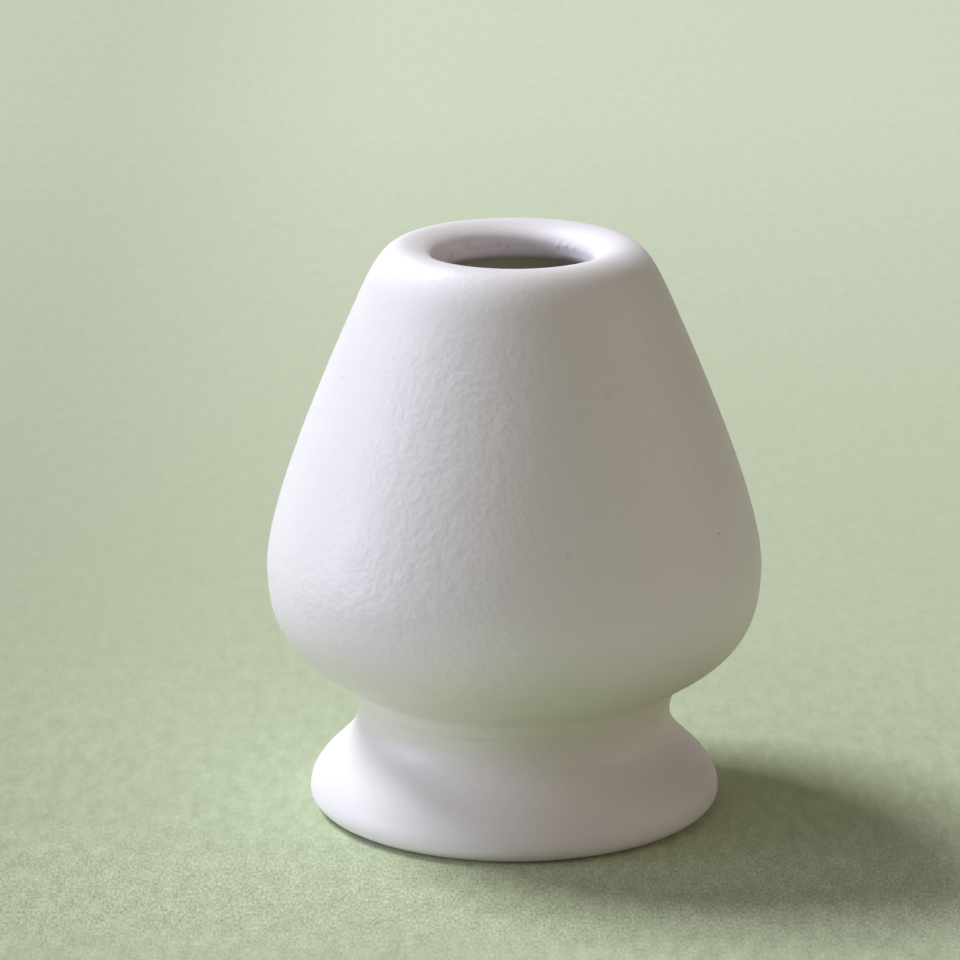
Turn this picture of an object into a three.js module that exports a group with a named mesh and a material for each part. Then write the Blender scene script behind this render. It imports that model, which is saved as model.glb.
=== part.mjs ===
// Tea whisk holder: a hollow fired bulb with a rolled mouth, joined by a ring of slip to a flared foot.
// Millimetres, +Z up. The origin is the centre of the ring on which the foot stands.
import * as THREE from 'three';

// Sizes of the whole
const whole_height = 70;
const seam_height = 15.4;
const slip_thickness = 0.5;
const joint_clearance = 0.3;

// Sizes of the bulb
const belly_diameter = 60;
const belly_height = 30.5;
const waist_diameter = 39.4;
const shoulder_diameter = 37.4;
const shoulder_drop = 6.3;
const throat_diameter = 19.2;
const throat_length = 0.7;
const lip_roll_width = 3.6;
const lip_roll_depth = 2.4;
const brow_round = 1.2;
const bulb_wall = 3.2;
const floor_thickness = 3.2;
const vent_diameter = 10;
const spigot_length = 3;
const bulb_edge_round = 0.5;

// Sizes of the foot
const foot_diameter = 50;
const flare_height = 2;
const contact_inset = 2.4;
const contact_width = 2;
const neck_diameter = 38;
const neck_drop = 3.25;
const neck_wall = 3.7;
const bore_length = 4;
const foot_edge_round = 0.5;

// Size of the bead of slip that stands out in the crease
const bead_width = 0.25;

// Slopes of the outside in degrees from level
const waist_slope = 31.5;
const shoulder_slope = 66;
const neck_top_slope = 76;

// How far each bend keeps its direction, as shares of the stretch that it spans
const contact_bend_shares = { start: 0.25, end: 0.65 };
const flare_bend_shares = { start: 0.41, end: 0.43 };
const neck_bend_shares = { start: 0.37, end: 0.31 };
const waist_bend_shares = { start: 0.48, end: 0.64 };
const belly_bend_shares = { start: 0.21, end: 0.32 };
const shoulder_bend_shares = { start: 0.7, end: 0.42 };
const lip_bend_shares = { start: 0.39, end: 0.67 };
const brow_bend_shares = { start: 0.55, end: 0.55 };
const roof_bend_shares = { start: 0.5, end: 0.6 };
const floor_bend_shares = { start: 0.5, end: 0.4 };
const foot_hollow_bend_shares = { start: 0.3, end: 0.35 };

// Fineness of the turned solids
const turn_sides = 52;
const long_bend_steps = 11;
const bend_steps = 7;
const hidden_bend_steps = 6;
const edge_steps = 2;

// Places worked out from the sizes
const foot_top = seam_height - slip_thickness / 2;
const bulb_bottom = seam_height + slip_thickness / 2;
const waist_radius = waist_diameter / 2;
const bore_radius = neck_diameter / 2 - neck_wall;
const spigot_radius = bore_radius - joint_clearance;
const spigot_bottom = bulb_bottom - spigot_length;
const throat_radius = throat_diameter / 2;
const crown_radius = throat_radius + lip_roll_width;
const throat_top = whole_height - lip_roll_depth;

const level = new THREE.Vector2(1, 0);
const upright = new THREE.Vector2(0, 1);

// A point of an outline: its radius from the axis and its height
function at(radius, height) {
  return new THREE.Vector2(radius, height);
}

// The direction that rises outwards at a slope from level
function rising(slope) {
  const angle = THREE.MathUtils.degToRad(slope);
  return at(Math.cos(angle), Math.sin(angle));
}

// The direction that rises inwards at a slope from level
function leaning(slope) {
  const angle = THREE.MathUtils.degToRad(slope);
  return at(-Math.cos(angle), Math.sin(angle));
}

// The point at a distance from another along a direction
function along(point, direction, distance) {
  return point.clone().addScaledVector(direction, distance);
}

// The points of a smooth bend between two points, pulled along a direction at either end
function bend(steps, from, pull_from, pull_to, to) {
  return new THREE.CubicBezierCurve(from, pull_from, pull_to, to).getPoints(steps);
}

// The points of a rounded edge about its sharp corner
function rounded(from, corner, to) {
  return new THREE.QuadraticBezierCurve(from, corner, to).getPoints(edge_steps);
}

// A closed solid turned about +Z from an outline that runs up outside and down inside
function turned(name, outline, finish) {
  const loop = outline.filter((point, i) => i === 0 || !point.equals(outline[i - 1]));
  loop.push(loop[0].clone());
  const mesh = new THREE.Mesh(new THREE.LatheGeometry(loop, turn_sides), finish);
  mesh.name = name;
  mesh.rotation.x = Math.PI / 2;
  return mesh;
}

// The outside of the bulb, from the seam over the belly and the lip down into the throat
function bulbOutside() {
  const waist = at(waist_radius, bulb_bottom);
  const belly = at(belly_diameter / 2, belly_height);
  const shoulder = at(shoulder_diameter / 2, whole_height - shoulder_drop);
  const crown = at(crown_radius, whole_height);
  const throat = at(throat_radius, throat_top);
  const belly_rise = belly.y - waist.y;
  const taper_rise = shoulder.y - belly.y;
  const lip_reach = shoulder.x - crown.x;
  return [
    ...bend(
      long_bend_steps,
      waist,
      along(waist, rising(waist_slope), waist_bend_shares.start * belly_rise),
      along(belly, upright, -waist_bend_shares.end * belly_rise),
      belly,
    ),
    ...bend(
      long_bend_steps,
      belly,
      along(belly, upright, belly_bend_shares.start * taper_rise),
      along(shoulder, leaning(shoulder_slope), -belly_bend_shares.end * taper_rise),
      shoulder,
    ),
    ...bend(
      bend_steps,
      shoulder,
      along(shoulder, leaning(shoulder_slope), shoulder_bend_shares.start * shoulder_drop),
      along(crown, level, shoulder_bend_shares.end * lip_reach),
      crown,
    ),
    ...bend(
      bend_steps,
      crown,
      along(crown, level, -lip_bend_shares.start * lip_roll_width),
      along(throat, upright, lip_bend_shares.end * lip_roll_depth),
      throat,
    ),
  ];
}

// The inside of the bulb, from the end of the throat round the brow and down along the wall to the floor
function bulbInside() {
  const throat_end = at(throat_radius, throat_top - throat_length);
  const brow = at(throat_radius + brow_round, throat_end.y - brow_round);
  const shoulder = at(shoulder_diameter / 2, whole_height - shoulder_drop);
  const inner_shoulder = along(shoulder, rising(90 - shoulder_slope), -bulb_wall);
  const inner_belly = at(belly_diameter / 2 - bulb_wall, belly_height);
  const inner_waist = along(at(waist_radius, bulb_bottom), leaning(90 - waist_slope), bulb_wall);
  const floor_edge = at(spigot_radius - bulb_wall, spigot_bottom + floor_thickness);
  const roof_reach = inner_shoulder.x - brow.x;
  const taper_rise = inner_shoulder.y - inner_belly.y;
  const belly_rise = inner_belly.y - inner_waist.y;
  const floor_reach = inner_waist.x - floor_edge.x;
  return [
    ...bend(
      hidden_bend_steps,
      throat_end,
      along(throat_end, upright, -brow_bend_shares.start * brow_round),
      along(brow, level, -brow_bend_shares.end * brow_round),
      brow,
    ),
    ...bend(
      hidden_bend_steps,
      brow,
      along(brow, level, roof_bend_shares.start * roof_reach),
      along(inner_shoulder, leaning(shoulder_slope), roof_bend_shares.end * roof_reach),
      inner_shoulder,
    ),
    ...bend(
      hidden_bend_steps,
      inner_shoulder,
      along(inner_shoulder, leaning(shoulder_slope), -belly_bend_shares.end * taper_rise),
      along(inner_belly, upright, belly_bend_shares.start * taper_rise),
      inner_belly,
    ),
    ...bend(
      hidden_bend_steps,
      inner_belly,
      along(inner_belly, upright, -waist_bend_shares.end * belly_rise),
      along(inner_waist, rising(waist_slope), waist_bend_shares.start * belly_rise),
      inner_waist,
    ),
    ...bend(
      hidden_bend_steps,
      inner_waist,
      along(inner_waist, rising(waist_slope), -floor_bend_shares.start * floor_reach),
      along(floor_edge, level, floor_bend_shares.end * floor_reach),
      floor_edge,
    ),
  ];
}

// The bottom of the bulb: the vent through the floor, the spigot and the flat shoulder over the slip
function bulbBottom() {
  const vent_radius = vent_diameter / 2;
  const floor_top = spigot_bottom + floor_thickness;
  return [
    ...rounded(
      at(vent_radius + bulb_edge_round, floor_top),
      at(vent_radius, floor_top),
      at(vent_radius, floor_top - bulb_edge_round),
    ),
    ...rounded(
      at(vent_radius, spigot_bottom + bulb_edge_round),
      at(vent_radius, spigot_bottom),
      at(vent_radius + bulb_edge_round, spigot_bottom),
    ),
    ...rounded(
      at(spigot_radius - bulb_edge_round, spigot_bottom),
      at(spigot_radius, spigot_bottom),
      at(spigot_radius, spigot_bottom + bulb_edge_round),
    ),
    at(spigot_radius, bulb_bottom),
  ];
}

// The outside of the foot, from the contact ring over the flare and the neck to the seam
function footOutside() {
  const contact = at(foot_diameter / 2 - contact_inset, 0);
  const flare = at(foot_diameter / 2, flare_height);
  const neck = at(neck_diameter / 2, foot_top - neck_drop);
  const seam = at(waist_radius, foot_top);
  const flare_rise = neck.y - flare.y;
  return [
    ...bend(
      bend_steps,
      contact,
      along(contact, level, contact_bend_shares.start * contact_inset),
      along(flare, upright, -contact_bend_shares.end * flare_height),
      flare,
    ),
    ...bend(
      long_bend_steps,
      flare,
      along(flare, upright, flare_bend_shares.start * flare_rise),
      along(neck, upright, -flare_bend_shares.end * flare_rise),
      neck,
    ),
    ...bend(
      hidden_bend_steps,
      neck,
      along(neck, upright, neck_bend_shares.start * neck_drop),
      along(seam, rising(neck_top_slope), -neck_bend_shares.end * neck_drop),
      seam,
    ),
  ];
}

// The inside of the foot, from the bore for the spigot down to the contact ring
function footInside() {
  const bore_bottom = at(bore_radius, foot_top - bore_length);
  const contact_inner = foot_diameter / 2 - contact_inset - contact_width;
  const hollow_edge = at(contact_inner - foot_edge_round, foot_edge_round);
  const hollow_rise = bore_bottom.y - hollow_edge.y;
  return [
    at(bore_radius, foot_top),
    ...bend(
      bend_steps,
      bore_bottom,
      along(bore_bottom, upright, -foot_hollow_bend_shares.start * hollow_rise),
      along(hollow_edge, upright, foot_hollow_bend_shares.end * hollow_rise),
      hollow_edge,
    ),
    ...rounded(hollow_edge, at(hollow_edge.x, 0), at(contact_inner, 0)),
  ];
}

// The ring of slip between the foot and the bulb, with its bead in the crease
function slipOutline() {
  return [
    at(bore_radius, foot_top),
    at(waist_radius, foot_top),
    ...rounded(
      at(waist_radius + bead_width / 2, foot_top),
      at(waist_radius + bead_width, foot_top),
      at(waist_radius + bead_width, seam_height),
    ),
    ...rounded(
      at(waist_radius + bead_width, seam_height),
      at(waist_radius + bead_width, bulb_bottom),
      at(waist_radius + bead_width / 2, bulb_bottom),
    ),
    at(waist_radius, bulb_bottom),
    at(bore_radius, bulb_bottom),
  ];
}

const white_glaze = { color: 0xf1efeb, roughness: 0.55, metalness: 0 };
const dry_slip = { color: 0xebe7e0, roughness: 0.8, metalness: 0 };

const holder = new THREE.Group();
holder.name = 'tea_whisk_holder';
holder.add(
  turned(
    'bulb',
    [...bulbOutside(), ...bulbInside(), ...bulbBottom()],
    new THREE.MeshStandardMaterial(white_glaze),
  ),
);
holder.add(
  turned(
    'foot',
    [...footOutside(), ...footInside()],
    new THREE.MeshStandardMaterial(white_glaze),
  ),
);
holder.add(turned('joining_slip', slipOutline(), new THREE.MeshStandardMaterial(dry_slip)));

export default holder;
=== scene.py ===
"""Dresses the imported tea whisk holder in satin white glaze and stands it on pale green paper."""

import math

import bmesh
import bpy
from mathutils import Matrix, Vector, geometry, noise


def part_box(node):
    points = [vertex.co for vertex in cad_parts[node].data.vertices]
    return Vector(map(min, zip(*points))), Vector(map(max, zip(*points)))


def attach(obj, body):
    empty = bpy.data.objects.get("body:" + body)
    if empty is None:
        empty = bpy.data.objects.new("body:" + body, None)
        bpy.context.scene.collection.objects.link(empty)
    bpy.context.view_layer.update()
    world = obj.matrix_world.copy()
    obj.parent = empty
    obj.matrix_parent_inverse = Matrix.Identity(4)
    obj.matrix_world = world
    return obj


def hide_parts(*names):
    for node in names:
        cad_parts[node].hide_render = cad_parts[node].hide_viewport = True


bl_info = {
    "name": "Tea Whisk Holder",
    "version": (1, 0, 0),
    "blender": (4, 5, 0),
    "location": "3D View > Sidebar > Tea Ware",
    "description": "Builds a glazed tea whisk holder from its sizes, with its studio",
    "category": "Object",
}

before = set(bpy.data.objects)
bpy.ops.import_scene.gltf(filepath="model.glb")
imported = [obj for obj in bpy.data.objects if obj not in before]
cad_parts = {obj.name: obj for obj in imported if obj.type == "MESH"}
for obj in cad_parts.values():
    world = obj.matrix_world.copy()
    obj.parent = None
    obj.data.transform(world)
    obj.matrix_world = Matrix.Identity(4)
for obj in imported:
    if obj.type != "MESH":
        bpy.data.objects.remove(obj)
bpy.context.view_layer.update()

BULB_LOW, BULB_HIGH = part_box("bulb")
FOOT_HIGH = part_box("foot")[1]
SLIP_LOW, SLIP_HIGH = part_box("joining_slip")
MM = 0.001
FULL_TURN = math.tau
QUARTER_TURN = math.pi / 2


def length(label, words, value):
    """A size that a user can set, in metres."""
    return bpy.props.FloatProperty(
        name=label, description=words, default=value, unit="LENGTH", subtype="DISTANCE", precision=5
    )


def share(label, words, value):
    """A number from 0 to 1 that a user can set."""
    return bpy.props.FloatProperty(
        name=label, description=words, default=value, min=0.0, max=1.0, subtype="FACTOR"
    )


def slope(label, words, degrees):
    """An angle that a user can set."""
    return bpy.props.FloatProperty(
        name=label, description=words, default=math.radians(degrees), subtype="ANGLE"
    )


def colour(label, words, value):
    """A linear colour that a user can set."""
    return bpy.props.FloatVectorProperty(
        name=label, description=words, default=value, size=3, min=0.0, max=1.0, subtype="COLOR"
    )


def count(label, words, value):
    """A whole number that a user can set."""
    return bpy.props.IntProperty(name=label, description=words, default=value, min=3)


def strength(label, words, value):
    """A plain number that a user can set."""
    return bpy.props.FloatProperty(name=label, description=words, default=value)


class HolderSizes(bpy.types.PropertyGroup):
    """Real sizes of the holder."""

    whole_height: length("Height", "From the table to the top of the lip", BULB_HIGH.z)
    belly_radius: length("Belly radius", "Widest radius of the bulb", BULB_HIGH.x)
    belly_height: length("Belly height", "Height of the widest ring", 0.0305)
    waist_radius: length("Waist radius", "Radius of the crease between bulb and foot", 0.0197)
    waist_slope: slope("Waist slope", "Slope of the underside at the crease", 31.5)
    shoulder_radius: length("Shoulder radius", "Radius where the taper rolls into the lip", 0.0187)
    shoulder_drop: length("Shoulder drop", "From the top of the lip down to the shoulder", 0.0063)
    shoulder_slope: slope("Shoulder slope", "Slope of the taper at the shoulder", 66)
    throat_radius: length("Throat radius", "Inner radius of the mouth", 0.0096)
    throat_length: length("Throat length", "Straight part of the throat", 0.0007)
    lip_roll_width: length("Lip roll width", "From the throat out to the top of the lip", 0.0036)
    lip_roll_depth: length("Lip roll depth", "From the top of the lip down to the throat", 0.0024)
    brow_round: length("Brow round", "Rounding of the lower edge of the throat", 0.0012)
    bulb_wall: length("Bulb wall", "Thickness of the bulb's wall", 0.0032)
    floor_thickness: length("Floor", "Thickness of the bulb's floor", 0.0032)
    vent_radius: length("Vent radius", "Radius of the hole in the floor", 0.005)
    spigot_radius: length("Spigot radius", "Radius of the spigot in the foot's bore", 0.015)
    edge_round: length("Edge round", "Rounding of the trimmed edges", 0.0005)
    foot_radius: length("Foot radius", "Widest radius of the foot", FOOT_HIGH.x)
    flare_height: length("Flare height", "Height of the foot's widest ring", 0.002)
    contact_inset: length("Contact inset", "From the widest ring in to the contact ring", 0.0024)
    contact_width: length("Contact width", "Width of the unglazed contact ring", 0.002)
    neck_radius: length("Neck radius", "Narrowest radius of the foot", 0.019)
    neck_drop: length("Neck drop", "From the foot's top to its narrowest ring", 0.00325)
    neck_top_slope: slope("Neck top slope", "Slope of the neck where it meets the crease", 76)
    bore_radius: length("Bore radius", "Radius of the bore that takes the spigot", 0.0153)
    bore_length: length("Bore length", "Straight part of the bore", 0.004)
    pool_reach: length("Pool reach", "From the crease to the ends of the pooled glaze", 0.0014)


class GlazeLook(bpy.types.PropertyGroup):
    """Colours and relief of the fired surface, and how finely it is built."""

    glaze_colour: colour("Glaze", "Satin white glaze", (0.84, 0.837, 0.835))
    thin_colour: colour("Thin glaze", "Glaze where it lies thinner, in faint clouds", (0.83, 0.818, 0.8))
    clay_colour: colour("Bare clay", "Unglazed clay of the contact ring", (0.80, 0.755, 0.69))
    speck_colour: colour("Specks", "Iron specks", (0.5, 0.48, 0.46))
    smudge_colour: colour("Smudges", "Faint marks in the glaze", (0.72, 0.7, 0.68))
    throat_colour: colour("Throat marks", "Brownish marks in the throat", (0.72, 0.66, 0.57))
    # Painted shade: a darker, yellower glaze over the underside of the bulb and the neck, where shade
    # and the paper's green bounce fall; the glaze also pools in the crease
    pooled_glaze_and_shade_colour: colour("Pooled glaze", "Thicker glaze about the crease", (0.765, 0.76, 0.665))
    # Painted light: a paler, bluer glaze on the top of the lip and in the throat, where light falls from
    # above
    painted_light_colour: colour("Thick glaze", "White glaze on the lip and in the throat", (0.935, 0.93, 0.955))
    inside_colour: colour("Inside", "Thin glaze over the clay of the hollow", (0.93, 0.85, 0.7))
    roughness: share("Roughness", "Roughness of the glaze", 0.5)
    gloss: share("Gloss", "Strength of the glaze's reflection", 0.6)
    ripple_size: length("Ripple size", "Width of the broad waves of the skin", 0.0015)
    ripple_depth: length("Ripple depth", "Depth of the broad waves of the skin", 0.000045)
    peel_size: length("Peel size", "Width of the dimples of the orange peel", 0.0008)
    peel_depth: length("Peel depth", "Depth of the dimples of the orange peel", 0.00007)
    pimple_height: length("Pimple height", "Height of the pimples in the throat", 0.00013)
    ridge_height: length("Ridge height", "Height of the turning ridge in the throat", 0.00007)
    turn_steps: count("Steps a turn", "Steps of the turned meshes", 400)
    row_length: length("Row length", "Spacing of the rows of the turned meshes", 0.00048)


class StudioLook(bpy.types.PropertyGroup):
    """Camera, lamp, cards, fill and paper; the turns run from the camera towards the left."""

    camera_distance: length("Camera distance", "From the axis to the camera", 0.6202)
    camera_height: length("Camera height", "Above the paper", 0.219)
    camera_pitch: slope("Camera pitch", "Downward tilt of the camera", 16.044)
    lens: strength("Lens", "Focal length in millimetres", 200.18)
    axis_pixel: strength("Axis pixel", "Column of the image on which the axis stands", 514.31)
    lamp_reach: length("Lamp reach", "Distance of the lamp and the cards", 3.0)
    key_turn: slope("Key turn", "Turn of the soft lamp", 122.5)
    key_rise: slope("Key rise", "Height of the soft lamp as an angle", 51)
    key_width: length("Key width", "Width of the soft lamp", 1.3)
    key_height: length("Key height", "Height of the soft lamp from edge to edge", 0.5)
    key_power: strength("Key power", "Power of the soft lamp in watts", 78.5)
    key_colour: colour("Key colour", "Colour of the soft lamp", (0.935, 0.955, 1.0))
    card_rise: slope("Card rise", "Height of the front and right cards as an angle", 14)
    card_width: length("Card width", "Width of the side, front, right and high cards", 1.4)
    card_height: length("Card height", "Height of those cards from edge to edge", 0.5)
    side_turn: slope("Side card turn", "Turn of the side card", 82)
    side_rise: slope("Side card rise", "Height of the side card as an angle", 8)
    side_power: strength("Side card power", "Power of the side card in watts", 46)
    side_colour: colour("Side card colour", "Colour of the side card", (0.74, 0.7, 1.0))
    front_turn: slope("Front card turn", "Turn of the front card", 330)
    front_power: strength("Front card power", "Power of the front card in watts", 5.8)
    front_colour: colour("Front card colour", "Colour of the front card", (0.97, 0.68, 1.0))
    right_turn: slope("Right card turn", "Turn of the right card", 275)
    right_power: strength("Right card power", "Power of the right card in watts", 7)
    right_colour: colour("Right card colour", "Colour of the right card", (1.0, 0.72, 0.62))
    back_turn: slope("Back card turn", "Turn of the back card", 180)
    back_rise: slope("Back card rise", "Height of the back card as an angle", 13)
    back_width: length("Back card width", "Width of the back card", 3.0)
    back_height: length("Back card height", "Height of the back card from edge to edge", 1.3)
    back_power: strength("Back card power", "Power of the back card in watts", 10.5)
    back_colour: colour("Back card colour", "Colour of the back card", (0.66, 0.64, 1.0))
    high_turn: slope("High card turn", "Turn of the high card", 35)
    high_rise: slope("High card rise", "Height of the high card as an angle", 50)
    high_power: strength("High card power", "Power of the high card in watts", 6)
    high_colour: colour("High card colour", "Colour of the high card", (0.93, 0.91, 0.92))
    fill_strength: strength("Fill", "Strength of the room's light", 0.11)
    fill_colour: colour("Fill colour", "Colour of the room's light", (1.0, 0.88, 0.53))
    paper_near: colour("Near paper", "Paper in front of the holder", (0.53, 0.608, 0.419))
    # The far paper is paler than the near one: painted light, as where more light falls on the back of
    # the sheet
    paper_far: colour("Far paper", "Paper behind the holder", (0.672, 0.753, 0.56))
    paper_width: length("Paper width", "Width of the paper", 6.0)


def out(radius, height):
    """A point of an outline in the plane that is spun."""
    return Vector((radius, 0.0, height))


def rising(angle):
    """The direction that rises outwards at an angle from level."""
    return out(math.cos(angle), math.sin(angle))


def leaning(angle):
    """The direction that rises inwards at an angle from level."""
    return out(-math.cos(angle), math.sin(angle))


LEVEL = out(1.0, 0.0)
UPRIGHT = out(0.0, 1.0)

# How far each bend is pulled along at its two ends, as a share of its rise or its width
WAIST_PULL, BELLY_LOW_PULL = 0.48, 0.64
BELLY_HIGH_PULL, SHOULDER_LOW_PULL = 0.21, 0.32
SHOULDER_HIGH_PULL, CROWN_OUTER_PULL = 0.7, 0.42
CROWN_INNER_PULL, THROAT_PULL = 0.39, 0.67
BROW_PULL = 0.55
ROOF_INNER_PULL, ROOF_OUTER_PULL = 0.5, 0.6
FLOOR_OUTER_PULL, FLOOR_INNER_PULL = 0.5, 0.4
CONTACT_PULL, FLARE_LOW_PULL = 0.25, 0.65
FLARE_HIGH_PULL, NECK_LOW_PULL = 0.41, 0.43
NECK_HIGH_PULL, CREASE_PULL = 0.37, 0.31
BORE_PULL, HOLLOW_PULL = 0.3, 0.35
CORNER_PULL = 2 / 3

# How much longer a bend is than the straight line between its ends, and the fewest steps it takes
BEND_LENGTH, FEWEST_STEPS = 1.06, 4
# How far the edges of the pooled glaze sink under the skin beside them
POOL_SUNK = 0.12 * MM
# Points closer than this are one, in metres
SAME_PLACE = 1e-7
# Edges that turn more than this stay sharp
SHARP_TURN = math.radians(50)


def bend(start, pull_start, pull_end, end, row):
    """The points of a smooth bend, about one row apart."""
    steps = max(FEWEST_STEPS, round((end - start).length * BEND_LENGTH / row))
    curve = geometry.interpolate_bezier(start, pull_start, pull_end, end, steps + 1)
    return [Vector(point) for point in curve]


def straight(start, end, row):
    """The points of a straight stretch, about one row apart."""
    return bend(start, start.lerp(end, 1 / 3), start.lerp(end, 2 / 3), end, row)


def rounded(start, corner, end, row):
    """The points of a rounded edge about its sharp corner."""
    return bend(start, start.lerp(corner, CORNER_PULL), end.lerp(corner, CORNER_PULL), end, row)


def underside(sizes, row):
    """The underside of the bulb from the crease to the belly."""
    waist = out(sizes.waist_radius, SLIP_HIGH.z)
    belly = out(sizes.belly_radius, sizes.belly_height)
    rise = belly.z - waist.z
    return bend(
        waist,
        waist + rising(sizes.waist_slope) * WAIST_PULL * rise,
        belly - UPRIGHT * BELLY_LOW_PULL * rise,
        belly,
        row,
    )


def neck_top(sizes, row):
    """The neck from its narrowest ring up to the crease."""
    neck = out(sizes.neck_radius, FOOT_HIGH.z - sizes.neck_drop)
    crease = out(sizes.waist_radius, FOOT_HIGH.z)
    return bend(
        neck,
        neck + UPRIGHT * NECK_HIGH_PULL * sizes.neck_drop,
        crease - rising(sizes.neck_top_slope) * CREASE_PULL * sizes.neck_drop,
        crease,
        row,
    )


def walk(points, distance):
    """The point a distance along a run of points, and the heading there."""
    for here, there in zip(points, points[1:]):
        heading = there - here
        if distance <= heading.length:
            return here + heading.normalized() * distance, heading.normalized()
        distance -= heading.length
    raise ValueError("the run of points is shorter than the distance")


def bulb_outside(sizes, row):
    """The bulb from the crease over belly and lip down into the throat."""
    belly = out(sizes.belly_radius, sizes.belly_height)
    shoulder = out(sizes.shoulder_radius, sizes.whole_height - sizes.shoulder_drop)
    crown = out(sizes.throat_radius + sizes.lip_roll_width, sizes.whole_height)
    throat = out(sizes.throat_radius, sizes.whole_height - sizes.lip_roll_depth)
    taper_rise = shoulder.z - belly.z
    lip_reach = shoulder.x - crown.x
    lip_row = row / 2
    return (
        underside(sizes, row)
        + bend(
            belly,
            belly + UPRIGHT * BELLY_HIGH_PULL * taper_rise,
            shoulder - leaning(sizes.shoulder_slope) * SHOULDER_LOW_PULL * taper_rise,
            shoulder,
            row,
        )
        + bend(
            shoulder,
            shoulder + leaning(sizes.shoulder_slope) * SHOULDER_HIGH_PULL * sizes.shoulder_drop,
            crown + LEVEL * CROWN_OUTER_PULL * lip_reach,
            crown,
            lip_row,
        )
        + bend(
            crown,
            crown - LEVEL * CROWN_INNER_PULL * sizes.lip_roll_width,
            throat + UPRIGHT * THROAT_PULL * sizes.lip_roll_depth,
            throat,
            lip_row,
        )
    )


def bulb_inside(sizes, row):
    """The hollow from the throat round its brow and down along the wall to the floor."""
    throat = out(sizes.throat_radius, sizes.whole_height - sizes.lip_roll_depth)
    throat_end = throat - UPRIGHT * sizes.throat_length
    brow = throat_end + (LEVEL - UPRIGHT) * sizes.brow_round
    shoulder = out(sizes.shoulder_radius, sizes.whole_height - sizes.shoulder_drop)
    inner_shoulder = shoulder - rising(QUARTER_TURN - sizes.shoulder_slope) * sizes.bulb_wall
    inner_belly = out(sizes.belly_radius - sizes.bulb_wall, sizes.belly_height)
    waist = out(sizes.waist_radius, SLIP_HIGH.z)
    inner_waist = waist + leaning(QUARTER_TURN - sizes.waist_slope) * sizes.bulb_wall
    floor_edge = out(sizes.spigot_radius - sizes.bulb_wall, BULB_LOW.z + sizes.floor_thickness)
    roof_reach = inner_shoulder.x - brow.x
    taper_rise = inner_shoulder.z - inner_belly.z
    belly_rise = inner_belly.z - inner_waist.z
    floor_reach = inner_waist.x - floor_edge.x
    # Rows lie further apart where they are out of sight
    throat_row, roof_row, wall_row, floor_row = row / 2, row * 1.5, row * 5, row * 4
    return (
        straight(throat, throat_end, throat_row)
        + bend(
            throat_end,
            throat_end - UPRIGHT * BROW_PULL * sizes.brow_round,
            brow - LEVEL * BROW_PULL * sizes.brow_round,
            brow,
            throat_row,
        )
        + bend(
            brow,
            brow + LEVEL * ROOF_INNER_PULL * roof_reach,
            inner_shoulder + leaning(sizes.shoulder_slope) * ROOF_OUTER_PULL * roof_reach,
            inner_shoulder,
            roof_row,
        )
        + bend(
            inner_shoulder,
            inner_shoulder - leaning(sizes.shoulder_slope) * SHOULDER_LOW_PULL * taper_rise,
            inner_belly + UPRIGHT * BELLY_HIGH_PULL * taper_rise,
            inner_belly,
            wall_row,
        )
        + bend(
            inner_belly,
            inner_belly - UPRIGHT * BELLY_LOW_PULL * belly_rise,
            inner_waist + rising(sizes.waist_slope) * WAIST_PULL * belly_rise,
            inner_waist,
            wall_row,
        )
        + bend(
            inner_waist,
            inner_waist - rising(sizes.waist_slope) * FLOOR_OUTER_PULL * floor_reach,
            floor_edge + LEVEL * FLOOR_INNER_PULL * floor_reach,
            floor_edge,
            floor_row,
        )
    )


def bulb_bottom(sizes, row):
    """The vent through the floor, the spigot and the flat shoulder over the slip."""
    edge = sizes.edge_round
    floor_top = BULB_LOW.z + sizes.floor_thickness
    under = BULB_LOW.z
    edge_row = row / 3
    return (
        rounded(
            out(sizes.vent_radius + edge, floor_top),
            out(sizes.vent_radius, floor_top),
            out(sizes.vent_radius, floor_top - edge),
            edge_row,
        )
        + rounded(
            out(sizes.vent_radius, under + edge),
            out(sizes.vent_radius, under),
            out(sizes.vent_radius + edge, under),
            edge_row,
        )
        + rounded(
            out(sizes.spigot_radius - edge, under),
            out(sizes.spigot_radius, under),
            out(sizes.spigot_radius, under + edge),
            edge_row,
        )
        + [out(sizes.spigot_radius, SLIP_HIGH.z)]
    )


def foot_outline(sizes, row):
    """The foot from the contact ring over flare and neck to the crease, and back down inside."""
    contact = out(sizes.foot_radius - sizes.contact_inset, 0.0)
    flare = out(sizes.foot_radius, sizes.flare_height)
    neck = out(sizes.neck_radius, FOOT_HIGH.z - sizes.neck_drop)
    bore_bottom = out(sizes.bore_radius, FOOT_HIGH.z - sizes.bore_length)
    contact_inner = contact - LEVEL * sizes.contact_width
    hollow_edge = contact_inner + (UPRIGHT - LEVEL) * sizes.edge_round
    flare_rise = neck.z - flare.z
    hollow_rise = bore_bottom.z - hollow_edge.z
    low_row, hollow_row, edge_row = row / 2, row * 1.5, row / 3
    return (
        bend(
            contact,
            contact + LEVEL * CONTACT_PULL * sizes.contact_inset,
            flare - UPRIGHT * FLARE_LOW_PULL * sizes.flare_height,
            flare,
            low_row,
        )
        + bend(
            flare,
            flare + UPRIGHT * FLARE_HIGH_PULL * flare_rise,
            neck - UPRIGHT * NECK_LOW_PULL * flare_rise,
            neck,
            row,
        )
        + neck_top(sizes, row)
        + [out(sizes.bore_radius, FOOT_HIGH.z)]
        + bend(
            bore_bottom,
            bore_bottom - UPRIGHT * BORE_PULL * hollow_rise,
            hollow_edge + UPRIGHT * HOLLOW_PULL * hollow_rise,
            hollow_edge,
            hollow_row,
        )
        + rounded(hollow_edge, out(hollow_edge.x, 0.0), contact_inner, edge_row)
    )


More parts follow.
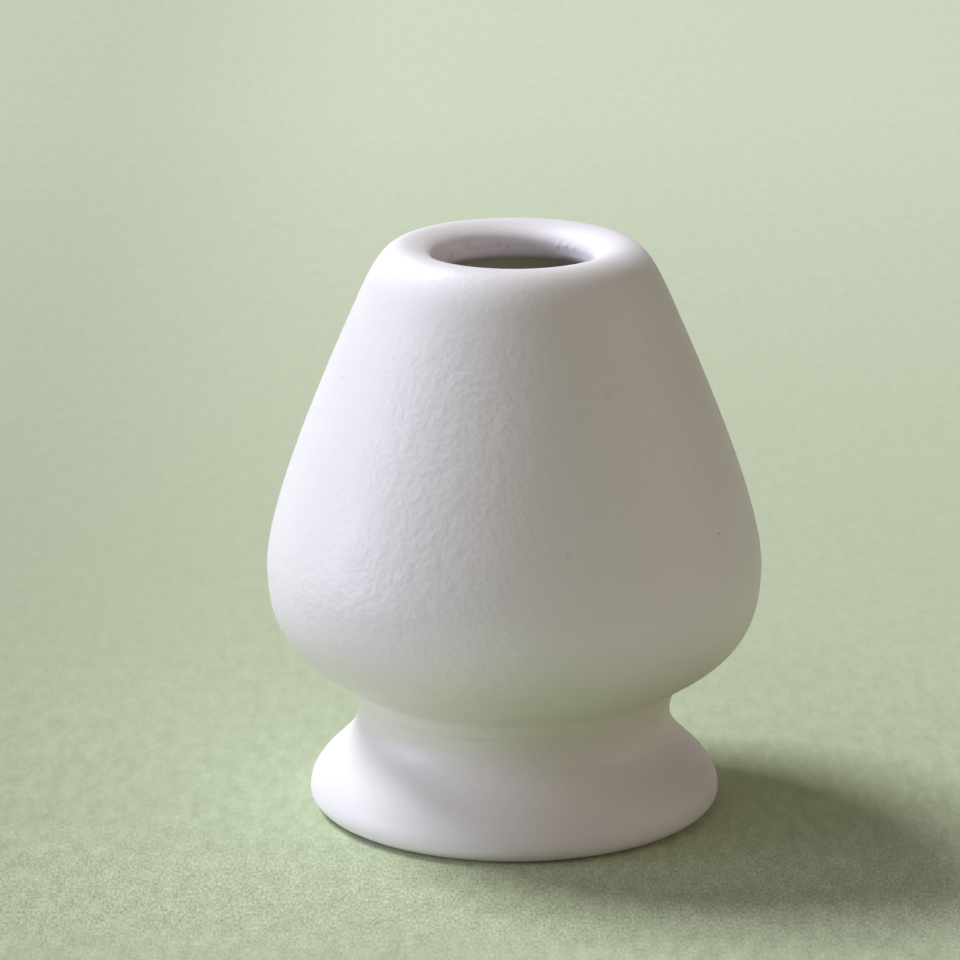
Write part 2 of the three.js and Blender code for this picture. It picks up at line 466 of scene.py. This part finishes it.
def pool_outline(sizes, row):
    """The glaze that pools over the slip: a hollow fillet that leaves neck and underside smoothly."""
    pool_row = row / 8
    down, falling = walk(neck_top(sizes, pool_row)[::-1], sizes.pool_reach)
    under, climbing = walk(underside(sizes, pool_row), sizes.pool_reach)
    pull = (under - down).length / 3
    return (
        bend(down, down - falling * pull, under - climbing * pull, under, pool_row)
        + [
            under - rising(sizes.waist_slope - QUARTER_TURN) * POOL_SUNK,
            out(sizes.bore_radius, SLIP_HIGH.z),
            out(sizes.bore_radius, SLIP_LOW.z),
            down - LEVEL * POOL_SUNK,
        ]
    )


def turned(outline, steps):
    """A closed mesh spun about the upright axis from a closed outline, with its faces outwards."""
    mesh = bmesh.new()
    ring = []
    for point in outline:
        if not ring or (point - ring[-1].co).length > SAME_PLACE:
            ring.append(mesh.verts.new(point))
    if (ring[0].co - ring[-1].co).length < SAME_PLACE:
        mesh.verts.remove(ring.pop())
    edges = [mesh.edges.new((ring[i - 1], ring[i])) for i in range(len(ring))]
    bmesh.ops.spin(
        mesh,
        geom=ring + edges,
        cent=(0, 0, 0),
        axis=(0, 0, 1),
        angle=FULL_TURN,
        steps=steps,
        use_merge=True,
    )
    bmesh.ops.remove_doubles(mesh, verts=mesh.verts, dist=SAME_PLACE)
    bmesh.ops.recalc_face_normals(mesh, faces=mesh.faces)
    return mesh


def finished(name, mesh, material, node):
    """Makes a finished mesh a smooth object at the origin, which rides on the root."""
    data = bpy.data.meshes.new(name)
    mesh.to_mesh(data)
    mesh.free()
    data.shade_smooth()
    data.set_sharp_from_angle(angle=SHARP_TURN)
    data.materials.append(material)
    piece = bpy.data.objects.new(name, data)
    bpy.context.scene.collection.objects.link(piece)
    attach(piece, "root")
    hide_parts(node)


# How much flatter than wide the waves and dimples of the skin are
FLATTENING = 1.1
# Heights between which the waves of the skin set in, hold and die away: low, start, end and high
BULB_WAVES = (16 * MM, 24 * MM, 60 * MM, 68 * MM)
FOOT_WAVES = (0.8 * MM, 3 * MM, 11 * MM, 14 * MM)
# Depth of the foot's waves, as a share of that of the bulb's
FOOT_WAVE_SHARE = 0.5
# Level of the waves between hollow and crest, and how much the noise moves them from it
WAVE_LEVEL, WAVE_CONTRAST = 0.5, 0.6

# The turning ridge and the pimples in the throat, their widths, and how many widths out they reach
RIDGE_START, RIDGE_END = Vector((-5.3, 8.0, 67.55)) * MM, Vector((-2.1, 9.4, 67.75)) * MM
PIMPLES = (Vector((5.2, 8.1, 67.8)) * MM, Vector((6.2, 7.4, 68.0)) * MM, Vector((7.2, 6.4, 68.0)) * MM)
RIDGE_WIDTH, PIMPLE_WIDTH = 0.16 * MM, 0.2 * MM
TAIL_WIDTHS = 3


def held(value):
    """A value kept between 0 and 1."""
    return min(1.0, max(0.0, value))


def swell(value, low, start, end, high):
    """1 between start and end, with a smooth rise from low and a smooth fall to high."""
    ease = min(held((value - low) / (start - low)), held((high - value) / (high - end)))
    return ease * ease * (3 - 2 * ease)


def ripple(mesh, size, depth, heights):
    """Sinks the glazed skin in soft flat waves, strongest between two heights."""
    mesh.normal_update()
    moves = []
    for vert in mesh.verts:
        strength_here = swell(vert.co.z, *heights)
        if strength_here > 0.0:
            place = Vector((vert.co.x, vert.co.y, vert.co.z * FLATTENING)) / size
            sink = depth * strength_here * held(WAVE_LEVEL - WAVE_CONTRAST * noise.noise(place))
            moves.append((vert, vert.normal * sink))
    for vert, move in moves:
        vert.co -= move


def raise_skin(mesh, start, end, height, width):
    """Raises the skin in a low ridge between two points, or in a pimple where they are one."""
    run = end - start
    for vert in mesh.verts:
        offset = vert.co - start
        if offset.length < run.length + TAIL_WIDTHS * width:
            share_along = offset.dot(run) / run.length_squared if run.length_squared else 0.0
            gap = (offset - run * held(share_along)).length / width
            vert.co += vert.normal * height * math.exp(-gap * gap)


# Sockets of the Mix node that carry its share and its colours
MIX_SHARE, MIX_FIRST, MIX_SECOND, MIX_RESULT = 0, 6, 7, 2


class Wiring:
    """Short calls that add and join the nodes of one material."""

    def __init__(self, name):
        self.material = bpy.data.materials.new(name)
        self.material.use_nodes = True
        self.tree = self.material.node_tree
        self.tree.nodes.clear()
        self.output = self.add("ShaderNodeOutputMaterial")
        self.place = self.add("ShaderNodeTexCoord").outputs["Object"]

    def add(self, kind, **settings):
        """A node with its settings."""
        made = self.tree.nodes.new(kind)
        for key, value in settings.items():
            setattr(made, key, value)
        return made

    def feed(self, socket, value):
        """Joins a socket to another, or sets its value."""
        if isinstance(value, bpy.types.NodeSocket):
            self.tree.links.new(value, socket)
        else:
            socket.default_value = value

    def along(self, axis):
        """The Object coordinate along an axis."""
        parts = self.add("ShaderNodeSeparateXYZ")
        self.feed(parts.inputs[0], self.place)
        return parts.outputs[axis]

    def radius(self):
        """The distance from the upright axis."""
        level = self.add("ShaderNodeVectorMath", operation="MULTIPLY")
        self.feed(level.inputs[0], self.place)
        level.inputs[1].default_value = (1.0, 1.0, 0.0)
        made = self.add("ShaderNodeVectorMath", operation="LENGTH")
        self.feed(made.inputs[0], level.outputs["Vector"])
        return made.outputs["Value"]

    def scaled(self, across, depth, height):
        """Object coordinates scaled along each axis; a small scale makes a pattern longer that way."""
        made = self.add("ShaderNodeMapping")
        self.feed(made.inputs["Vector"], self.place)
        made.inputs["Scale"].default_value = (across, depth, height)
        return made.outputs["Vector"]

    def noise(self, size, detail, roughness=0.5, place=None):
        """Noise whose blobs are about as wide as a size in metres."""
        made = self.add("ShaderNodeTexNoise")
        self.feed(made.inputs["Vector"], place or self.place)
        made.inputs["Scale"].default_value = 1.0 / size
        made.inputs["Detail"].default_value = detail
        made.inputs["Roughness"].default_value = roughness
        return made.outputs["Fac"]

    def stretch(self, value, low, high, to_low=0.0, to_high=1.0, smooth=True):
        """A value carried from one range to another."""
        made = self.add("ShaderNodeMapRange")
        made.interpolation_type = "SMOOTHSTEP" if smooth else "LINEAR"
        self.feed(made.inputs["Value"], value)
        ends = {"From Min": low, "From Max": high, "To Min": to_low, "To Max": to_high}
        for socket, number in ends.items():
            made.inputs[socket].default_value = number
        return made.outputs["Result"]

    def fade(self, value, start, end):
        """1 up to a start, easing to 0 at an end."""
        return self.stretch(value, start, end, 1.0, 0.0)

    def band(self, value, low, start, end, high):
        """1 between start and end, easing to 0 at low and at high."""
        return self.times(self.stretch(value, low, start), self.fade(value, end, high))

    def near(self, centre, radius, softness):
        """1 within a radius of a point of the piece, fading to 0 over a softness on either side."""
        gap = self.add("ShaderNodeVectorMath", operation="DISTANCE")
        self.feed(gap.inputs[0], self.place)
        gap.inputs[1].default_value = centre
        return self.fade(gap.outputs["Value"], radius - softness, radius + softness)

    def combine(self, kind, first, second):
        """Two values added, subtracted, multiplied or compared."""
        made = self.add("ShaderNodeMath", operation=kind)
        self.feed(made.inputs[0], first)
        self.feed(made.inputs[1], second)
        return made.outputs[0]

    def times(self, first, second):
        """One value times another."""
        return self.combine("MULTIPLY", first, second)

    def blend(self, share_socket, first, second):
        """A colour between two colours."""
        made = self.add("ShaderNodeMix", data_type="RGBA")
        self.feed(made.inputs[MIX_SHARE], share_socket)
        self.feed(made.inputs[MIX_FIRST], first)
        self.feed(made.inputs[MIX_SECOND], second)
        return made.outputs[MIX_RESULT]

    def bump(self, value, depth):
        """A normal that raises the surface by a value times a depth."""
        made = self.add("ShaderNodeBump")
        made.inputs["Distance"].default_value = depth
        self.feed(made.inputs["Height"], value)
        return made.outputs["Normal"]


def opaque(value):
    """A colour with full alpha."""
    return (*value, 1.0)


GLAZE_NAME = "satin_white_glaze"
GLAZE_REFRACTION = 1.5

# Heights between which a finish sets in, holds and dies away: low, start, end and high
# The pooled band paints shade over the underside and neck about the crease, where glaze also pools
POOLED_AND_SHADE_BAND = (8 * MM, 14 * MM, 20 * MM, 30 * MM)
PEEL_BAND = (17 * MM, 26 * MM, 60 * MM, 67 * MM)
HOLLOW_BAND = (46 * MM, 52 * MM, 65.3 * MM, 66.6 * MM)
# Heights and radii over which a finish changes into the next
CLAY_HEIGHTS = (0.25 * MM, 0.55 * MM)
# Painted light: heights and radii over which the throat and the lip top turn paler and bluer, where
# light falls from above
LIT_THROAT_HEIGHTS = (60 * MM, 64 * MM)
LIT_LIP_HEIGHTS = (65.5 * MM, 69 * MM)
LIT_THROAT_RADII = (10.2 * MM, 11.8 * MM)
# A cone in the middle of the wall: the radius plus a share of the height, between inner and outer skin
CONE_SHARE = 0.445
CONE_SUMS = (44.5 * MM, 45.8 * MM)

# The middle span of a noise, over which its patches pass from one look to the other
PATCH_SPAN = (0.3, 0.7)
RAGGED_SPAN = (0.3, 0.6)
# Widths of the clouds of colour, of the patches of gloss and of the raggedness of the marks
CLOUD_SIZE, GLOSS_SIZE, RAGGED_SIZE = 14 * MM, 6 * MM, 1.1 * MM
CLOUD_STRENGTH = 0.35
# How much the patches lower and raise the roughness of the glaze, and how rough the bare clay is
SMOOTHER, ROUGHER, CLAY_ROUGHNESS = 0.03, 0.05, 0.85
# What is left of the orange peel above and below its band
FAINT_PEEL = 0.5

# Places, radii and strengths of the small marks of making, on the bulb
SPECKS = (Vector((-20.4, -8.6, 55.8)) * MM, Vector((24.2, -15.1, 38.4)) * MM)
SMUDGES = (Vector((11.0, -19.0, 56.3)) * MM, Vector((6.3, -27.5, 39.4)) * MM)
THROAT_MARKS = (Vector((-5.9, 7.8, 68.3)) * MM, Vector((-7.8, 5.6, 67.1)) * MM)
SMALL_THROAT_MARKS = (Vector((-1.9, 9.4, 67.7)) * MM, Vector((-0.8, 9.6, 67.3)) * MM)
SPECK_RADIUS, SMUDGE_RADIUS = 0.15 * MM, 0.4 * MM
THROAT_MARK_RADIUS, SMALL_MARK_RADIUS = 0.7 * MM, 0.3 * MM
SPECK_STRENGTH, SMUDGE_STRENGTH, THROAT_MARK_STRENGTH = 1.0, 0.55, 0.5


def hollow(glaze, radius, height):
    """1 on the wall of the hollow below the throat, 0 on the outside of the taper."""
    cone = glaze.combine("ADD", radius, glaze.times(height, CONE_SHARE))
    return glaze.times(glaze.fade(cone, *CONE_SUMS), glaze.band(height, *HOLLOW_BAND))


def marked(glaze, base, centres, radius, tint, share_socket):
    """A colour with soft round marks at some places."""
    for centre in centres:
        spot = glaze.times(glaze.near(centre, radius, radius / 2), share_socket)
        base = glaze.blend(spot, base, opaque(tint))
    return base


def coat_colour(glaze, look, height, bare):
    """The colour of the coat: clouds, painted shade over the underside and neck where glaze also pools
    in the crease, painted light on the lip top and in the throat, the hollow, bare clay and small marks.
    """
    radius = glaze.radius()
    cloud = glaze.stretch(glaze.noise(CLOUD_SIZE, detail=2.0), *PATCH_SPAN)
    # Painted light: the throat and the top of the lip are made paler and bluer, where light falls from
    # above
    throat = glaze.times(glaze.fade(radius, *LIT_THROAT_RADII), glaze.stretch(height, *LIT_THROAT_HEIGHTS))
    painted_light = glaze.combine("MAXIMUM", throat, glaze.stretch(height, *LIT_LIP_HEIGHTS))
    base = opaque(look.glaze_colour)
    for zone, tint in (
        (glaze.times(cloud, CLOUD_STRENGTH), look.thin_colour),
        # Painted shade over the underside and neck, with the glaze pooled in the crease
        (glaze.band(height, *POOLED_AND_SHADE_BAND), look.pooled_glaze_and_shade_colour),
        # Painted light on the lip top and in the throat
        (painted_light, look.painted_light_colour),
        (hollow(glaze, radius, height), look.inside_colour),
        (bare, look.clay_colour),
    ):
        base = glaze.blend(zone, base, opaque(tint))
    base = marked(glaze, base, SPECKS, SPECK_RADIUS, look.speck_colour, SPECK_STRENGTH)
    base = marked(glaze, base, SMUDGES, SMUDGE_RADIUS, look.smudge_colour, SMUDGE_STRENGTH)
    ragged = glaze.stretch(glaze.noise(RAGGED_SIZE, detail=1.0), *RAGGED_SPAN)
    faint = glaze.times(ragged, THROAT_MARK_STRENGTH)
    base = marked(glaze, base, THROAT_MARKS, THROAT_MARK_RADIUS, look.throat_colour, faint)
    return marked(glaze, base, SMALL_THROAT_MARKS, SMALL_MARK_RADIUS, look.throat_colour, faint)


def orange_peel(glaze, look, height):
    """The soft dimples of the glaze, strongest round the body of the bulb."""
    flat = glaze.scaled(1.0, 1.0, FLATTENING)
    dimples = glaze.noise(look.peel_size, detail=1.5, roughness=0.42, place=flat)
    strongest = glaze.stretch(glaze.band(height, *PEEL_BAND), 0.0, 1.0, FAINT_PEEL, 1.0)
    return glaze.bump(glaze.times(dimples, strongest), look.peel_depth)


def satin_glaze(look):
    """Satin white glaze with orange peel, small marks and painted shade and light in its colour, bare
    clay on the contact ring.
    """
    glaze = Wiring(GLAZE_NAME)
    height = glaze.along("Z")
    bare = glaze.fade(height, *CLAY_HEIGHTS)
    smoothest, roughest = look.roughness - SMOOTHER, look.roughness + ROUGHER
    patches = glaze.stretch(glaze.noise(GLOSS_SIZE, detail=2.0), *PATCH_SPAN, smoothest, roughest)
    shader = glaze.add("ShaderNodeBsdfPrincipled")
    glaze.feed(shader.inputs["Base Color"], coat_colour(glaze, look, height, bare))
    glaze.feed(shader.inputs["Normal"], orange_peel(glaze, look, height))
    rough = glaze.combine("MAXIMUM", patches, glaze.times(bare, CLAY_ROUGHNESS))
    glaze.feed(shader.inputs["Roughness"], rough)
    shader.inputs["IOR"].default_value = GLAZE_REFRACTION
    shader.inputs["Specular IOR Level"].default_value = look.gloss
    glaze.feed(glaze.output.inputs["Surface"], shader.outputs[0])
    return glaze.material


# Where the paper changes, right of the axis or behind it in metres, and its tone or grain at each end;
# the paler back is painted light and the darker left is painted shade
PAINTED_LIGHT_BACK = (0.0, 0.4)
PAINTED_SHADE_LEFT = (-0.085, -0.02, 0.83, 1.0)
FIBRES_IN_FRONT = (-0.06, -0.038, 0.35, 1.0)
FIBRES_BEHIND = (-0.034, 0.004, 1.0, 0.1)
CLUMPS_BEHIND = (-0.036, 0.1, 1.0, 0.25)
# Width and strength of the fibres and of their clumps
FIBRE_SIZE, FIBRE_STRENGTH = 0.3 * MM, 1.1
CLUMP_SIZE, CLUMP_STRENGTH = 1.8 * MM, 0.62
# Scale of the grain from front to back; below 1 it comes out longer that way
GRAIN_SCALE = 0.35
GRAIN_ROUGHNESS = 0.7
NOISE_MEAN = 0.5
PAPER_ROUGHNESS, PAPER_SHINE = 0.95, 0.15


def green_paper(look):
    """Pale green paper, with painted light that makes it paler towards the back and painted shade that
    makes it darker on the left, with a fine grain in front.
    """
    paper = Wiring("pale_green_paper")
    across, depth = paper.along("X"), paper.along("Y")
    # Painted light: the paper turns paler towards the back
    back = paper.stretch(depth, *PAINTED_LIGHT_BACK, smooth=False)
    base = paper.blend(back, opaque(look.paper_near), opaque(look.paper_far))
    place = paper.scaled(1.0, GRAIN_SCALE, 1.0)
    fibre = paper.noise(FIBRE_SIZE, 1.0, GRAIN_ROUGHNESS, place)
    clump = paper.noise(CLUMP_SIZE, 3.0, GRAIN_ROUGHNESS, place)
    front = paper.times(paper.stretch(depth, *FIBRES_BEHIND), paper.stretch(depth, *FIBRES_IN_FRONT))
    middle = paper.stretch(depth, *CLUMPS_BEHIND)
    grain = paper.combine(
        "ADD",
        paper.times(paper.combine("SUBTRACT", fibre, NOISE_MEAN), paper.times(front, FIBRE_STRENGTH)),
        paper.times(paper.combine("SUBTRACT", clump, NOISE_MEAN), paper.times(middle, CLUMP_STRENGTH)),
    )
    # Painted shade: the paper darkens towards the left
    shade = paper.times(paper.stretch(across, *PAINTED_SHADE_LEFT), paper.combine("ADD", grain, 1.0))
    tint = paper.add("ShaderNodeVectorMath", operation="SCALE")
    paper.feed(tint.inputs[0], base)
    paper.feed(tint.inputs["Scale"], shade)
    shader = paper.add("ShaderNodeBsdfPrincipled")
    paper.feed(shader.inputs["Base Color"], tint.outputs[0])
    shader.inputs["Roughness"].default_value = PAPER_ROUGHNESS
    shader.inputs["Specular IOR Level"].default_value = PAPER_SHINE
    paper.feed(paper.output.inputs["Surface"], shader.outputs[0])
    return paper.material


class TEAWARE_OT_bulb(bpy.types.Operator):
    """Spins the hollow bulb with its rolled lip, vent and spigot."""

    bl_idname = "teaware.bulb"
    bl_label = "Bulb"

    def execute(self, context):
        sizes, look = context.scene.holder_sizes, context.scene.glaze_look
        row = look.row_length
        outline = bulb_outside(sizes, row) + bulb_inside(sizes, row) + bulb_bottom(sizes, row)
        mesh = turned(outline, look.turn_steps)
        ripple(mesh, look.ripple_size, look.ripple_depth, BULB_WAVES)
        raise_skin(mesh, RIDGE_START, RIDGE_END, look.ridge_height, RIDGE_WIDTH)
        for pimple in PIMPLES:
            raise_skin(mesh, pimple, pimple, look.pimple_height, PIMPLE_WIDTH)
        finished("glazed_bulb", mesh, satin_glaze(look), "bulb")
        return {"FINISHED"}


class TEAWARE_OT_foot(bpy.types.Operator):
    """Spins the flared hollow foot, in the glaze of the bulb."""

    bl_idname = "teaware.foot"
    bl_label = "Foot"

    def execute(self, context):
        sizes, look = context.scene.holder_sizes, context.scene.glaze_look
        mesh = turned(foot_outline(sizes, look.row_length), look.turn_steps)
        ripple(mesh, look.ripple_size, look.ripple_depth * FOOT_WAVE_SHARE, FOOT_WAVES)
        finished("glazed_foot", mesh, bpy.data.materials[GLAZE_NAME], "foot")
        return {"FINISHED"}


class TEAWARE_OT_pool(bpy.types.Operator):
    """Spins the ring of glaze that pools over the slip in the crease."""

    bl_idname = "teaware.pool"
    bl_label = "Glaze in the crease"

    def execute(self, context):
        sizes, look = context.scene.holder_sizes, context.scene.glaze_look
        mesh = turned(pool_outline(sizes, look.row_length), look.turn_steps)
        finished("pooled_glaze", mesh, bpy.data.materials[GLAZE_NAME], "joining_slip")
        return {"FINISHED"}


# Width of the picture for which the column of the axis is given
PICTURE_WIDTH = 960
# Height of the spot on the axis at which the lamp and the cards aim
AIM_HEIGHT = 30 * MM


def place_camera(look):
    """The camera at the height and distance from which the holder is seen."""
    camera = bpy.data.objects.new("camera", bpy.data.cameras.new("camera"))
    bpy.context.scene.collection.objects.link(camera)
    camera.location = (0.0, -look.camera_distance, look.camera_height)
    camera.rotation_euler = (QUARTER_TURN - look.camera_pitch, 0.0, 0.0)
    camera.data.lens = look.lens
    camera.data.shift_x = (PICTURE_WIDTH / 2 - look.axis_pixel) / PICTURE_WIDTH
    bpy.context.scene.camera = camera


def hang_lamp(name, turn, panel, reach, power, tint):
    """A soft lamp that faces the holder from a turn; its panel is its rise, width and height."""
    rise, width, height = panel
    lamp = bpy.data.lights.new(name, "AREA")
    lamp.shape = "RECTANGLE"
    lamp.size = width
    lamp.size_y = height
    lamp.energy = power
    lamp.color = tint
    lit = bpy.data.objects.new(name, lamp)
    bpy.context.scene.collection.objects.link(lit)
    level = math.cos(rise)
    towards = Vector((-math.sin(turn) * level, -math.cos(turn) * level, math.sin(rise)))
    lit.location = out(0.0, AIM_HEIGHT) + towards * reach
    lit.rotation_euler = towards.to_track_quat("Z", "Y").to_euler()
    lit.visible_camera = False


def hang_lamps(look):
    """The soft lamp, and the cards that lighten its shadows from all sides."""
    soft = (look.key_rise, look.key_width, look.key_height)
    low = (look.side_rise, look.card_width, look.card_height)
    middle = (look.card_rise, look.card_width, look.card_height)
    wide = (look.back_rise, look.back_width, look.back_height)
    high = (look.high_rise, look.card_width, look.card_height)
    for name, turn, panel, power, tint in (
        ("soft_lamp", look.key_turn, soft, look.key_power, look.key_colour),
        ("side_card", look.side_turn, low, look.side_power, look.side_colour),
        ("front_card", look.front_turn, middle, look.front_power, look.front_colour),
        ("right_card", look.right_turn, middle, look.right_power, look.right_colour),
        ("back_card", look.back_turn, wide, look.back_power, look.back_colour),
        ("high_card", look.high_turn, high, look.high_power, look.high_colour),
    ):
        hang_lamp(name, turn, panel, look.lamp_reach, power, tint)


def fill_room(look):
    """Even light from the room; the camera sees it as pale as the far paper."""
    world = bpy.data.worlds.new("room")
    world.use_nodes = True
    tree = world.node_tree
    tree.nodes.clear()
    output = tree.nodes.new("ShaderNodeOutputWorld")
    mix = tree.nodes.new("ShaderNodeMixShader")
    path = tree.nodes.new("ShaderNodeLightPath")
    fill = tree.nodes.new("ShaderNodeBackground")
    seen = tree.nodes.new("ShaderNodeBackground")
    fill.inputs["Color"].default_value = opaque(look.fill_colour)
    fill.inputs["Strength"].default_value = look.fill_strength
    seen.inputs["Color"].default_value = opaque(look.paper_far)
    tree.links.new(path.outputs["Is Camera Ray"], mix.inputs[0])
    tree.links.new(fill.outputs[0], mix.inputs[1])
    tree.links.new(seen.outputs[0], mix.inputs[2])
    tree.links.new(mix.outputs[0], output.inputs["Surface"])
    bpy.context.scene.world = world


def lay_paper(look):
    """The sheet of paper that the holder stands on."""
    mesh = bmesh.new()
    bmesh.ops.create_grid(mesh, x_segments=1, y_segments=1, size=look.paper_width / 2)
    data = bpy.data.meshes.new("paper")
    mesh.to_mesh(data)
    mesh.free()
    data.materials.append(green_paper(look))
    paper = bpy.data.objects.new("paper", data)
    bpy.context.scene.collection.objects.link(paper)


class TEAWARE_OT_studio(bpy.types.Operator):
    """Places the camera, hangs the lamp and the cards, fills the room with light and lays the paper."""

    bl_idname = "teaware.studio"
    bl_label = "Studio"

    def execute(self, context):
        look = context.scene.studio_look
        place_camera(look)
        hang_lamps(look)
        fill_room(look)
        lay_paper(look)
        context.scene.view_settings.view_transform = "Standard"
        return {"FINISHED"}


class TEAWARE_PT_holder(bpy.types.Panel):
    """Lists the steps that build the holder, and its settings."""

    bl_idname = "TEAWARE_PT_holder"
    bl_label = "Tea Whisk Holder"
    bl_space_type = "VIEW_3D"
    bl_region_type = "UI"
    bl_category = "Tea Ware"

    def draw(self, context):
        for step in STEPS:
            self.layout.operator(step.bl_idname)
        for group in GROUPS:
            settings = getattr(context.scene, group)
            for name in settings.__annotations__:
                self.layout.prop(settings, name)


GROUPS = {"holder_sizes": HolderSizes, "glaze_look": GlazeLook, "studio_look": StudioLook}
STEPS = (TEAWARE_OT_bulb, TEAWARE_OT_foot, TEAWARE_OT_pool, TEAWARE_OT_studio)


def register():
    """Adds the settings, the steps and the panel."""
    for kind in (*GROUPS.values(), *STEPS, TEAWARE_PT_holder):
        bpy.utils.register_class(kind)
    for name, kind in GROUPS.items():
        setattr(bpy.types.Scene, name, bpy.props.PointerProperty(type=kind))


def unregister():
    """Takes them away again."""
    for name in GROUPS:
        delattr(bpy.types.Scene, name)
    for kind in (*GROUPS.values(), *STEPS, TEAWARE_PT_holder):
        bpy.utils.unregister_class(kind)


def main():
    """Builds the holder and its studio."""
    register()
    bpy.ops.teaware.bulb()
    bpy.ops.teaware.foot()
    bpy.ops.teaware.pool()
    bpy.ops.teaware.studio()


if __name__ == "__main__":
    main()
